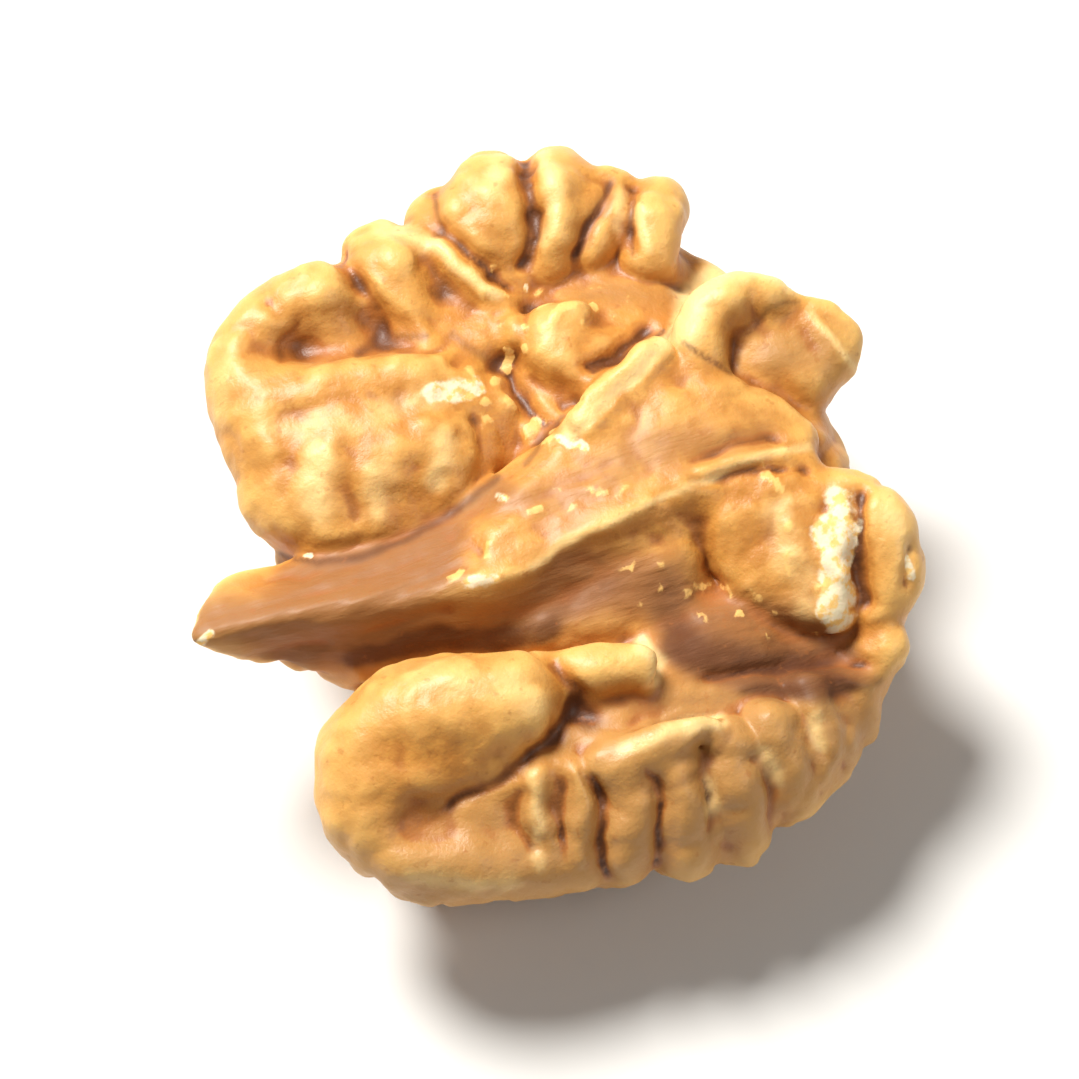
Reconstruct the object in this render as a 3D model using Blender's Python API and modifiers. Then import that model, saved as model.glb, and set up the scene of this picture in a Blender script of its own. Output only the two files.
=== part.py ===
"""One half of a shelled walnut kernel, lying on its rounded back with its inner face up.

The kernel is one solid, laid out in two kinds of form. A fold is a sphere stretched along a short spine, as
plump as the ridges that a walnut's seed leaf is made of. A slab is the tight wrapping of small spheres,
for the flatter faces of the tongue and of the middle. They are fused into one skin. Winding grooves are
pressed into the rounded back. The skin is then thinned, and trimmed flat by a hair where the kernel touches
the table.

Run it with: blender --background --python part.py
"""

import math

import bmesh
import bpy
import numpy as np
from mathutils import Matrix, Vector, noise

# Driving dimensions of the finished kernel, in metres.
KERNEL_LENGTH = 0.0298  # X, along the tongue
KERNEL_WIDTH = 0.0320  # Y, across the two lobes
KERNEL_HEIGHT = 0.0130  # Z, from the table to the top of the lobes

# Everything below is laid out in millimetres, and scaled to the driving dimensions at the end.
FIRST_GRAIN = 0.30  # grain of the fused skin before the grooves are pressed in
GRAIN = 0.40  # grain of the finished skin
TRIANGLES = 11500  # what the finished skin is thinned to
TABLE_TRIM = 0.35  # how much the lowest folds are flattened where they touch the table
FOLD_SIDES = 24
FOLD_RINGS = 28
SPANS_PER_POINT = 8

# Relief of the skin: low lumps all over, and the winding grooves of the rounded back.
LUMP_SIZE = 3.2
LUMP_HEIGHT = 0.12
GROOVE_SPACING = 3.4
GROOVE_SHARPNESS = 0.13
GROOVE_HEIGHTS = (0.25, -0.95)  # between the grooves, and in them
GROOVED_BELOW = (4.5, 7.5)  # the grooves fade out between these heights above the lowest fold's middle

# The rounded back: a dome of folds that fan out from its middle, from the table up to the rim.
BACK_CENTRE = (0.9, 0.8)
BACK_REACH = (10.4, 12.8)  # from its centre to the middles of the rim folds, along X and along Y
BACK_FLOOR = -0.1  # height of the innermost folds' middles
BACK_RISE = 6.7  # from there to the middles of the rim folds
RIM_FOLDS = 19
INNER_FOLDS = 9
RIM_FOLD_RADIUS = 1.9
INNER_FOLD_RADIUS = 2.3
CLEFT_DEPTH = 1.3  # the cleft along X that parts the two lobes' backs
CLEFT_HALF_WIDTH = 2.6

# Each fold is a spine of (x, y, z, radius), and each slab is a set of spheres (x, y, z, radius). +X is away
# from the tongue's tip, +Y is towards the upper lobe.
CORE_FOLDS = (
    ((-6.0, 8.0, 4.6, 4.2), (-1.0, 8.8, 4.0, 4.8), (4.5, 8.0, 4.4, 4.4)),
    ((-7.0, -7.0, 3.8, 4.0), (-1.5, -8.0, 3.4, 4.4), (4.0, -7.0, 3.6, 4.2)),
    ((-4.0, 0.4, 3.4, 3.6), (2.0, 0.2, 3.6, 4.4), (7.2, 0.0, 4.6, 4.2)),
    ((1.0, 8.0, 3.6, 4.6), (2.0, 2.0, 4.0, 4.8), (1.2, -5.0, 2.7, 4.4)),
    ((7.0, 6.0, 5.2, 3.6), (8.6, 1.0, 5.0, 3.8), (7.6, -4.4, 3.8, 3.5)),
)

SIDE_FOLDS = (
    # what carries the lobes, out to where they overhang
    ((-9.4, 6.6, 5.8, 1.6), (-8.6, 10.8, 6.0, 1.7), (-4.0, 13.0, 6.2, 1.7), (1.5, 14.0, 6.2, 1.8),
     (6.0, 12.4, 6.2, 1.6), (9.4, 8.4, 6.0, 1.4), (11.0, 5.0, 6.0, 1.4)),
    ((11.0, -5.6, 5.4, 1.7), (9.4, -9.0, 4.6, 1.5), (6.0, -11.2, 3.6, 1.5), (1.0, -12.2, 3.2, 1.6),
     (-5.0, -11.4, 3.4, 1.7), (-9.4, -8.4, 4.2, 1.8)),
)

TONGUE_SLABS = (
    # its end
    ((-15.1, -0.4, 8.3, 0.4), (-10.9, -1.2, 8.8, 0.4), (-13.4, 1.7, 7.4, 0.5), (-10.9, 1.5, 7.2, 0.6),
     (-13.4, -0.4, 6.8, 0.7), (-10.9, -1.1, 6.2, 0.9)),
    # its top face, from the ridge line to the far edge, and the side that falls away below
    ((-10.9, -1.2, 8.8, 0.4), (-4.6, -2.3, 9.3, 0.4), (-10.9, 1.5, 7.2, 0.6), (-4.2, 1.4, 7.6, 0.6),
     (-10.9, -1.2, 6.0, 1.0), (-4.6, -2.8, 6.2, 1.2)),
    ((-4.6, -2.3, 9.3, 0.4), (1.3, -1.7, 9.6, 0.4), (-4.2, 1.4, 7.6, 0.6), (1.1, 2.4, 9.2, 0.5),
     (-4.6, -2.8, 6.0, 1.2), (1.0, -3.4, 6.0, 1.4)),
    ((1.3, -1.7, 9.6, 0.4), (4.4, -1.5, 9.7, 0.4), (7.3, -1.0, 9.5, 0.5), (1.1, 2.4, 9.2, 0.5),
     (5.8, 4.4, 9.6, 0.6), (7.0, 3.3, 9.6, 0.7), (9.4, 1.0, 8.8, 0.8), (10.2, -0.6, 8.6, 0.7),
     (1.0, -3.4, 6.0, 1.4), (7.4, -2.0, 6.0, 1.5)),
    # the slope below it, down to the lower lobe
    ((-3.4, -3.2, 6.6, 1.0), (0.2, -3.2, 7.4, 1.0), (3.6, -3.0, 7.6, 1.2), (-2.2, -4.3, 7.2, 0.8),
     (0.2, -4.6, 7.4, 0.8), (2.9, -4.8, 6.0, 1.6)),
    ((1.6, -5.3, 5.2, 1.5), (4.6, -6.5, 4.5, 1.7), (7.6, -7.6, 4.2, 1.5), (3.0, -4.0, 6.0, 1.6)),
)

PLATEAU_SLABS = (
    # the low ridge that stands on it, a prism with a bright top
    ((1.6, 2.8, 10.1, 0.3), (5.7, 5.0, 10.5, 0.3), (2.1, 2.3, 10.1, 0.3), (6.2, 4.5, 10.5, 0.3),
     (2.7, 2.9, 9.2, 0.6), (4.9, 4.2, 9.4, 0.6)),
    ((1.6, 7.7, 8.9, 1.2), (3.2, 7.0, 9.2, 1.2), (2.1, 6.2, 9.0, 1.0), (3.4, 4.8, 8.6, 1.2)),
    ((4.6, 9.4, 7.4, 1.2), (7.0, 7.6, 7.6, 1.2), (6.0, 5.0, 8.4, 1.0), (3.4, 5.4, 8.2, 1.4)),
    ((5.2, 10.8, 7.2, 1.2), (7.8, 9.6, 7.2, 1.3), (5.0, 9.0, 7.2, 1.2)),
)

UPPER_LOBE_SLABS = (
    # the swollen front, from its crest down to the lip that overhangs the tongue
    ((-9.4, 7.6, 8.1, 1.9), (-7.0, 6.8, 8.4, 1.8), (-4.3, 6.6, 8.6, 1.5), (-9.8, 4.6, 7.4, 1.9),
     (-8.5, 3.1, 7.2, 1.8), (-6.4, 2.5, 7.2, 1.7)),
    ((-7.0, 6.8, 8.4, 1.8), (-4.3, 6.6, 8.6, 1.5), (-2.2, 6.0, 8.5, 1.2), (-8.5, 3.1, 7.2, 1.8),
     (-6.4, 2.5, 7.2, 1.7), (-3.9, 2.8, 7.6, 1.4)),
    ((-2.2, 6.0, 8.5, 1.1), (-0.9, 5.4, 8.4, 0.9), (-4.3, 6.8, 8.6, 1.2), (-3.8, 3.1, 7.5, 1.3),
     (-1.7, 3.8, 7.8, 1.0)),
    # the hollow behind its crest
    ((-7.8, 11.4, 7.1, 1.5), (-5.6, 10.5, 7.2, 1.5), (-3.1, 9.2, 7.7, 1.5), (-9.0, 9.4, 7.6, 1.6),
     (-2.0, 8.0, 8.2, 1.2), (0.6, 8.4, 7.8, 1.4)),
    # the floor between the two ridges behind it
    ((-3.2, 12.6, 8.2, 1.2), (-2.4, 10.0, 8.2, 1.0), (-0.6, 12.2, 8.3, 1.0), (0.2, 10.4, 8.3, 0.9)),
)

UPPER_LOBE_FOLDS = (
    # the roll along its crest
    ((-9.6, 8.6, 8.3, 1.9), (-7.2, 7.8, 8.6, 1.8), (-4.6, 7.4, 8.8, 1.6), (-2.6, 6.8, 8.8, 1.2),
     (-0.8, 6.2, 8.5, 0.8)),
    # the rim round the left end
    ((-9.6, 6.4, 8.0, 2.0), (-9.9, 8.8, 8.2, 1.9), (-9.1, 10.9, 8.4, 1.8), (-7.5, 12.2, 8.6, 1.6),
     (-6.1, 12.2, 8.8, 1.7)),
    ((-6.1, 12.2, 8.9, 1.7), (-5.7, 11.0, 8.4, 1.4)),
    # two ridges behind, with a hollow between them
    ((-3.0, 13.6, 8.4, 1.6), (-2.7, 12.5, 8.9, 1.5), (-2.6, 10.6, 8.6, 1.2), (-2.3, 9.2, 8.4, 0.8)),
    ((-4.2, 12.8, 8.9, 0.9), (-3.6, 11.0, 9.0, 0.8), (-2.6, 9.0, 8.9, 0.7)),
    ((-1.4, 13.2, 8.8, 1.1), (-0.6, 12.4, 9.4, 0.7), (0.4, 10.2, 9.3, 0.6), (0.8, 9.4, 8.9, 0.5)),
)

BACK_LOBE_FOLDS = (
    ((0.2, 14.4, 8.4, 1.5), (0.8, 13.2, 9.2, 1.5), (1.2, 11.4, 8.8, 1.2), (1.6, 10.2, 8.2, 0.9)),
    ((2.6, 15.2, 8.4, 1.7), (2.3, 13.8, 9.2, 1.8), (2.2, 12.0, 8.8, 1.5), (2.4, 10.8, 8.4, 0.9)),
    ((5.3, 14.7, 8.6, 1.4), (4.8, 13.2, 9.5, 1.3), (4.3, 12.0, 9.4, 1.1), (3.6, 10.8, 8.8, 0.9)),
    ((6.9, 13.0, 8.4, 1.5), (6.2, 12.0, 8.9, 1.3), (5.2, 10.9, 8.6, 1.0)),
    ((8.7, 12.0, 8.2, 1.4), (8.2, 11.0, 8.9, 1.3), (7.5, 9.8, 8.6, 1.1)),
)

CURL_FOLDS = (
    ((7.4, 3.7, 9.4, 1.1), (8.1, 5.3, 9.8, 1.2), (9.7, 6.0, 9.9, 1.1), (11.4, 5.6, 9.7, 0.8)),
    ((12.4, 5.1, 9.2, 0.6), (13.4, 4.4, 9.0, 0.6), (13.8, 3.3, 8.6, 0.6)),
)

CURL_SLABS = (
    ((10.0, 4.8, 8.4, 1.3), (12.4, 4.3, 8.3, 1.3), (13.0, 3.2, 8.0, 1.2), (11.6, 2.4, 7.8, 1.3),
     (10.0, 3.4, 8.1, 1.3)),
)

SHOULDER_SLABS = (
    # the slope that runs down from the ridge line to the broken edge
    ((5.6, -1.6, 8.8, 0.8), (9.6, -1.4, 8.6, 0.9), (9.6, -3.4, 8.4, 0.9), (6.2, -4.8, 7.5, 0.9),
     (7.4, -6.5, 7.3, 0.8), (8.8, -7.4, 7.1, 0.8), (7.2, -4.6, 5.4, 1.6)),
    # the broken edge
    ((10.2, -2.8, 8.6, 0.5), (9.9, -5.6, 8.2, 0.7), (8.9, -7.9, 7.1, 0.4), (9.2, -5.4, 7.0, 0.8)),
)

SHOULDER_FOLDS = (
    ((11.0, -3.2, 8.2, 1.2), (11.7, -4.8, 8.1, 1.4), (11.8, -6.6, 7.4, 1.3), (10.8, -7.4, 6.8, 1.1)),
    ((10.6, -9.0, 6.2, 0.9), (9.6, -9.0, 5.2, 1.4)),
    ((4.6, -8.8, 6.1, 0.6), (7.0, -9.4, 6.0, 0.6), (9.4, -10.0, 5.7, 0.6)),
)

LOWER_LOBE_SLABS = (
    ((-10.6, -7.4, 6.2, 2.0), (-8.4, -9.2, 5.2, 1.8), (-6.1, -9.8, 5.4, 1.6), (-4.4, -9.4, 5.6, 1.6)),
)

LOWER_LOBE_FOLDS = (
    # a broad pillow on top, which rolls over at its left end and comes back underneath
    ((-4.6, -7.3, 8.2, 1.8), (-5.6, -7.0, 8.2, 2.0), (-7.0, -6.6, 7.8, 2.3), (-9.2, -6.4, 7.2, 2.3),
     (-10.6, -7.6, 6.4, 2.2), (-10.6, -9.3, 5.5, 2.0), (-8.8, -11.0, 4.9, 1.9), (-6.0, -12.0, 4.7, 1.6),
     (-3.9, -12.5, 4.4, 1.4)),
    ((-9.6, -7.6, 6.8, 2.0), (-7.4, -7.9, 7.0, 1.9), (-5.6, -8.0, 7.4, 1.5)),
    ((-5.2, -9.8, 6.9, 0.7), (-5.0, -11.2, 6.2, 0.7), (-5.1, -12.4, 5.1, 0.8)),
    ((-3.6, -9.8, 7.1, 0.7), (-3.4, -11.4, 6.2, 0.8), (-3.8, -12.8, 4.7, 0.9)),
    # two fingers
    ((-2.7, -6.7, 7.9, 0.7), (-1.2, -7.0, 8.6, 0.8), (0.0, -7.3, 8.6, 0.6)),
    ((0.3, -6.7, 8.3, 0.3), (0.9, -7.3, 8.8, 0.35), (0.7, -8.0, 8.3, 0.3)),
    ((-2.0, -10.5, 7.4, 0.9), (0.1, -10.7, 7.9, 0.9), (2.4, -10.6, 8.1, 0.4)),
)

FLUTED_LOBE_FOLDS = (
    ((-1.2, -11.4, 6.6, 1.0), (-1.8, -12.6, 5.2, 1.3), (-2.0, -12.9, 3.8, 1.4)),
    ((0.7, -11.4, 6.9, 1.0), (0.5, -12.9, 5.2, 1.3), (0.3, -13.3, 3.9, 1.4)),
    ((2.8, -11.2, 6.9, 1.0), (3.0, -12.8, 5.3, 1.3), (2.8, -13.2, 3.9, 1.4)),
    ((4.8, -10.8, 6.8, 1.0), (5.1, -12.2, 5.3, 1.3), (5.1, -12.6, 4.0, 1.4)),
    ((6.9, -10.2, 6.4, 1.0), (7.2, -11.4, 5.2, 1.2), (7.0, -11.8, 4.0, 1.3)),
    ((8.4, -9.6, 5.9, 0.9), (8.7, -10.5, 5.0, 1.0), (8.5, -10.7, 4.0, 1.1)),
    ((-1.0, -9.4, 5.2, 1.8), (3.0, -9.2, 5.1, 2.0), (7.0, -8.4, 4.9, 1.8)),
)


def dome_point(turn, share, radius):
    """The middle of a back fold, at an angle round the dome and a share of the way out to its rim."""
    x = BACK_CENTRE[0] + BACK_REACH[0] * share * math.cos(turn)
    y = BACK_CENTRE[1] + BACK_REACH[1] * share * math.sin(turn)
    rise = BACK_RISE * (1 - math.sqrt(1 - 0.96 * share * share))
    cleft = CLEFT_DEPTH * math.exp(-(((y - BACK_CENTRE[1]) / CLEFT_HALF_WIDTH) ** 2))
    return x, y, BACK_FLOOR + rise + cleft, radius


def back_folds():
    """Rim folds that stand side by side round the dome, and fewer, fatter folds nearer its centre."""
    folds = []
    for i in range(RIM_FOLDS):
        turn = math.tau * (i + 0.5) / RIM_FOLDS
        swirl = 0.10 * math.sin(3 * turn)
        steps = ((turn + swirl * i, 0.60 + 0.19 * i, RIM_FOLD_RADIUS - 0.1 * i) for i in range(3))
        folds.append([dome_point(*step) for step in steps])
    for i in range(INNER_FOLDS):
        turn = math.tau * (i + 0.2) / INNER_FOLDS
        steps = ((turn + 0.15 * i, 0.10 + 0.22 * i, INNER_FOLD_RADIUS) for i in range(3))
        folds.append([dome_point(*step) for step in steps])
    return folds


FOLDS = (
    CORE_FOLDS,
    SIDE_FOLDS,
    UPPER_LOBE_FOLDS,
    BACK_LOBE_FOLDS,
    CURL_FOLDS,
    SHOULDER_FOLDS,
    LOWER_LOBE_FOLDS,
    FLUTED_LOBE_FOLDS,
    back_folds(),
)
SLABS = (TONGUE_SLABS, PLATEAU_SLABS, UPPER_LOBE_SLABS, CURL_SLABS, SHOULDER_SLABS, LOWER_LOBE_SLABS)


def clear_scene():
    for old in list(bpy.data.objects):
        bpy.data.objects.remove(old)


def between(before, start, end, after, share):
    """A point between start and end on the smooth curve that also passes before and after them."""
    square, cube = share * share, share * share * share
    return 0.5 * (
        2 * start
        + (end - before) * share
        + (2 * before - 5 * start + 4 * end - after) * square
        + (3 * start - before - 3 * end + after) * cube
    )


def smooth_spine(spine):
    """Closely spaced 4-D points (x, y, z, radius) on a smooth curve through a fold's spine."""
    knots = [Vector(knot) for knot in spine]
    knots = [2 * knots[0] - knots[1], *knots, 2 * knots[-1] - knots[-2]]
    line = [
        between(*knots[i - 1 : i + 3], step / SPANS_PER_POINT)
        for i in range(1, len(knots) - 2)
        for step in range(SPANS_PER_POINT)
    ]
    return [*line, knots[-2]]


def frames_along(line):
    """(distance, centre, radius, tangent, side, normal) at each point of a smooth spine, without twist."""
    frames = []
    distance = 0.0
    side = Vector((0, 0, 0))
    for i, point in enumerate(line):
        ahead = line[min(i + 1, len(line) - 1)].xyz
        behind = line[max(i - 1, 0)].xyz
        tangent = (ahead - behind).normalized()
        if i == 0:
            up = Vector((0, 0, 1)) if abs(tangent.z) < 0.9 else Vector((0, 1, 0))
            side = tangent.cross(up).normalized()
        else:
            distance += (point.xyz - line[i - 1].xyz).length
            side = (side - tangent * side.dot(tangent)).normalized()
        frames.append((distance, point.xyz, point.w, tangent, side, side.cross(tangent)))
    return frames


def frame_at(frames, distance):
    """The frame at a distance along a fold, blended between the two nearest ones."""
    for first, second in zip(frames, frames[1:]):
        if distance <= second[0]:
            share = (distance - first[0]) / (second[0] - first[0])
            return [a + (b - a) * share for a, b in zip(first, second)]
    return list(frames[-1])


def join(mesh, piece):
    """Adds one piece's geometry to the mesh and frees the piece."""
    loose = bpy.data.meshes.new("loose")
    piece.to_mesh(loose)
    piece.free()
    mesh.from_mesh(loose)
    bpy.data.meshes.remove(loose)


def add_fold(mesh, spine):
    """Adds one fold: a unit sphere whose rings are spread along the spine, with a round end at each tip."""
    frames = frames_along(smooth_spine(spine))
    length, first_radius, last_radius = frames[-1][0], frames[0][2], frames[-1][2]
    fold = bmesh.new()
    bmesh.ops.create_uvsphere(fold, u_segments=FOLD_SIDES, v_segments=FOLD_RINGS, radius=1.0)
    for vert in fold.verts:
        reach = (1 - vert.co.z) / 2 * (first_radius + length + last_radius) - first_radius
        on_spine = min(max(reach, 0.0), length)
        _, centre, radius, tangent, side, normal = frame_at(frames, on_spine)
        past = reach - on_spine
        girth = math.sqrt(max(radius * radius - past * past, 0.0))
        around = Vector((vert.co.x, vert.co.y)).normalized()
        vert.co = centre + tangent * past + (side * around.x + normal * around.y) * girth
    join(mesh, fold)


def add_slab(mesh, corners):
    """Adds the tight wrapping of small spheres: flat faces with rounded edges."""
    slab = bmesh.new()
    for x, y, z, radius in corners:
        place = Matrix.Translation((x, y, z))
        bmesh.ops.create_icosphere(slab, subdivisions=3, radius=radius, matrix=place)
    wrap = bmesh.ops.convex_hull(slab, input=slab.verts)
    within = {*wrap["geom_interior"], *wrap["geom_unused"]}
    inner = [item for item in within if isinstance(item, bmesh.types.BMVert)]
    bmesh.ops.delete(slab, geom=inner, context="VERTS")
    join(mesh, slab)


def fused(mesh, grain, softness, triangles=None):
    """The mesh's common outer skin, fused at a grain and softened, and thinned if a count is given."""
    loose = bpy.data.meshes.new("loose")
    mesh.to_mesh(loose)
    carrier = bpy.data.objects.new("loose", loose)
    bpy.context.scene.collection.objects.link(carrier)
    fuse = carrier.modifiers.new("fuse", "REMESH")
    fuse.mode = "VOXEL"
    fuse.voxel_size = grain
    soften = carrier.modifiers.new("soften", "SMOOTH")
    soften.factor = 0.5
    soften.iterations = softness
    skin = evaluated(carrier)
    if triangles:
        thin = carrier.modifiers.new("thin", "DECIMATE")
        thin.ratio = triangles / (2 * len(skin.polygons))
        thin.use_collapse_triangulate = True
        skin = evaluated(carrier)
    bpy.data.objects.remove(carrier)
    mesh.clear()
    mesh.from_mesh(skin)
    keep_outer_skin(mesh)
    return skin


def evaluated(carrier):
    graph = bpy.context.evaluated_depsgraph_get()
    return bpy.data.meshes.new_from_object(carrier.evaluated_get(graph))


def island_of(vert):
    """All vertices joined to this one."""
    found, waiting = {vert}, [vert]
    while waiting:
        for edge in waiting.pop().link_edges:
            for other in edge.verts:
                if other not in found:
                    found.add(other)
                    waiting.append(other)
    return found


def keep_outer_skin(mesh):
    """Removes the closed pockets that are left between folds inside the kernel."""
    left = set(mesh.verts)
    islands = []
    while left:
        island = island_of(next(iter(left)))
        left -= island
        islands.append(island)
    islands.sort(key=len)
    inner = [vert for island in islands[:-1] for vert in island]
    bmesh.ops.delete(mesh, geom=inner, context="VERTS")


def ripple(points, size, offset):
    """Smooth noise from about -1 to 1, with `size` millimetres from bump to bump."""
    return np.array([noise.noise(Vector(point)) for point in points / size + offset])


def fading(values, low, high):
    """1 at low or less, 0 at high or more, with a smooth change between."""
    part = np.clip((values - low) / (high - low), 0, 1)
    return 1 - part * part * (3 - 2 * part)


def press_relief(mesh):
    """Raises low lumps all over, and presses the winding grooves into the rounded back."""
    mesh.normal_update()
    points = np.array([vert.co for vert in mesh.verts])
    outward = np.array([vert.normal for vert in mesh.verts])
    grooves = np.exp(-((ripple(points, GROOVE_SPACING, 5.0) / GROOVE_SHARPNESS) ** 2))
    on_back = fading(outward[:, 2], -0.6, 0.1) * fading(points[:, 2], *GROOVED_BELOW)
    height = ripple(points, LUMP_SIZE, 0.0) * LUMP_HEIGHT
    height += (GROOVE_HEIGHTS[0] + GROOVE_HEIGHTS[1] * grooves) * on_back
    for vert, point in zip(mesh.verts, points + outward * height[:, None]):
        vert.co = point


def bounds(mesh):
    corners = [vert.co for vert in mesh.verts]
    low = Vector(map(min, *corners))
    high = Vector(map(max, *corners))
    return low, high


def fit_to_size(mesh):
    """Scales the kernel to its driving dimensions, with its base's centre at the origin."""
    low, high = bounds(mesh)
    foot = Vector(((low.x + high.x) / 2, (low.y + high.y) / 2, low.z))
    wanted = (KERNEL_LENGTH, KERNEL_WIDTH, KERNEL_HEIGHT)
    scale = Matrix.Diagonal([side / found for side, found in zip(wanted, high - low)]).to_4x4()
    mesh.transform(scale @ Matrix.Translation(-foot))


def trim_underside(mesh):
    """Flattens the lowest folds by TABLE_TRIM, so that the kernel stands on them."""
    low, _ = bounds(mesh)
    everything = [*mesh.verts, *mesh.edges, *mesh.faces]
    table = Vector((0, 0, low.z + TABLE_TRIM))
    down = (0, 0, -1)
    cut = bmesh.ops.bisect_plane(mesh, geom=everything, plane_co=table, plane_no=down, clear_outer=True)
    rim = [item for item in cut["geom_cut"] if isinstance(item, bmesh.types.BMEdge)]
    bmesh.ops.edgenet_fill(mesh, edges=rim)


def kernel_material():
    paint = bpy.data.materials.new("kernel_skin")
    paint.use_nodes = True
    shader = paint.node_tree.nodes["Principled BSDF"]
    shader.inputs["Base Color"].default_value = (0.66, 0.38, 0.14, 1)
    shader.inputs["Roughness"].default_value = 0.45
    shader.inputs["Metallic"].default_value = 0.0
    return paint


def make_kernel(collection):
    mesh = bmesh.new()
    for region in FOLDS:
        for spine in region:
            add_fold(mesh, spine)
    for region in SLABS:
        for corners in region:
            add_slab(mesh, corners)
    fused(mesh, FIRST_GRAIN, softness=6)
    press_relief(mesh)
    skin = fused(mesh, GRAIN, softness=2, triangles=TRIANGLES)
    trim_underside(mesh)
    fit_to_size(mesh)
    mesh.to_mesh(skin)
    mesh.free()
    skin.name = "walnut_kernel_half"
    skin.materials.append(kernel_material())
    kernel = bpy.data.objects.new("walnut_kernel_half", skin)
    collection.objects.link(kernel)
    return kernel


def main():
    clear_scene()
    collection = bpy.data.collections.new("walnut_kernel")
    bpy.context.scene.collection.children.link(collection)
    make_kernel(collection)


main()
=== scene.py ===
import math

import bmesh
import bpy
import numpy as np
from mathutils import Matrix, Vector, noise


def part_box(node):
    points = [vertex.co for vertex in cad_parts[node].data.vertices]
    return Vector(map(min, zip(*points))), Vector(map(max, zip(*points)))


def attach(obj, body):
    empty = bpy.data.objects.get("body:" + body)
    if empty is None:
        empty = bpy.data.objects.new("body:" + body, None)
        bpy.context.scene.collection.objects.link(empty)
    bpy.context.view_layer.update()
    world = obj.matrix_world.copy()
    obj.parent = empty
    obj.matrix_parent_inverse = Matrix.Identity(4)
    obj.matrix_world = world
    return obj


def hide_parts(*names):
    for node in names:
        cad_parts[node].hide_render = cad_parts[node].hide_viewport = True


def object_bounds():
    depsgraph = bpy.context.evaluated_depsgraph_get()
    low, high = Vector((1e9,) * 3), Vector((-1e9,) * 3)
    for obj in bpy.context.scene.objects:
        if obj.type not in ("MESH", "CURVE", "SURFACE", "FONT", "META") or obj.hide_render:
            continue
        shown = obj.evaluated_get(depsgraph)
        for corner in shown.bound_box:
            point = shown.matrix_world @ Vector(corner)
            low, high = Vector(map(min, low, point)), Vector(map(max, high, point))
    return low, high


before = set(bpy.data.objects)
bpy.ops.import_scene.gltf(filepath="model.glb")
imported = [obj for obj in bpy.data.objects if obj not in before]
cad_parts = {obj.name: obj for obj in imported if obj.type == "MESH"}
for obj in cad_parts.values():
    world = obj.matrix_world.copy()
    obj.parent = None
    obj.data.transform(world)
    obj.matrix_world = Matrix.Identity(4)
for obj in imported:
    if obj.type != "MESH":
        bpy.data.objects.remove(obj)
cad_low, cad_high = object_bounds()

# A shelled walnut kernel half: its folds, the fine relief of its skin, and its finish.

NODE = "walnut_kernel_half"

# ---------------------------------------------------------------- the kernel's folds
# Each fold is a spine of points (x, y, z, radius), and each slab wraps spheres that are given the same way.
# All are in millimetres. +X is away from the tongue's tip, +Y is towards the upper lobe.

GRAIN = 0.19  # how fine the fused skin is
SKIN_SOFTNESS = 4  # rounds of smoothing after it is fused
FOLD_SIDES = 28
FOLD_RINGS = 32
SPANS_PER_POINT = 8

CORE_FOLDS = (
    ((-6.0, 8.0, 4.6, 4.2), (-1.0, 8.8, 4.0, 4.8), (4.5, 8.0, 4.4, 4.4)),
    ((-7.0, -7.0, 3.8, 4.0), (-1.5, -8.0, 3.4, 4.4), (4.0, -7.0, 3.6, 4.2)),
    ((-4.0, 0.4, 3.4, 3.6), (2.0, 0.2, 3.6, 4.4), (7.2, 0.0, 4.6, 4.2)),
    ((1.0, 8.0, 3.6, 4.6), (2.0, 2.0, 4.0, 4.8), (1.2, -5.0, 2.7, 4.4)),
    ((7.0, 6.0, 5.2, 3.6), (8.6, 1.0, 5.0, 3.8), (7.6, -4.4, 3.8, 3.5)),
)

SIDE_FOLDS = (
    # what carries the lobes, out to where they overhang
    ((-9.4, 6.6, 5.8, 1.6), (-8.6, 10.8, 6.0, 1.7), (-4.0, 13.0, 6.2, 1.7), (1.5, 14.0, 6.2, 1.8),
     (6.0, 12.4, 6.2, 1.6), (9.4, 8.4, 6.0, 1.4), (11.0, 5.0, 6.0, 1.4)),
    ((11.0, -5.6, 5.4, 1.7), (9.4, -9.0, 4.6, 1.5), (6.0, -11.2, 3.6, 1.5), (1.0, -12.2, 3.2, 1.6),
     (-5.0, -11.4, 3.4, 1.7), (-9.4, -8.4, 4.2, 1.8)),
)

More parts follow.
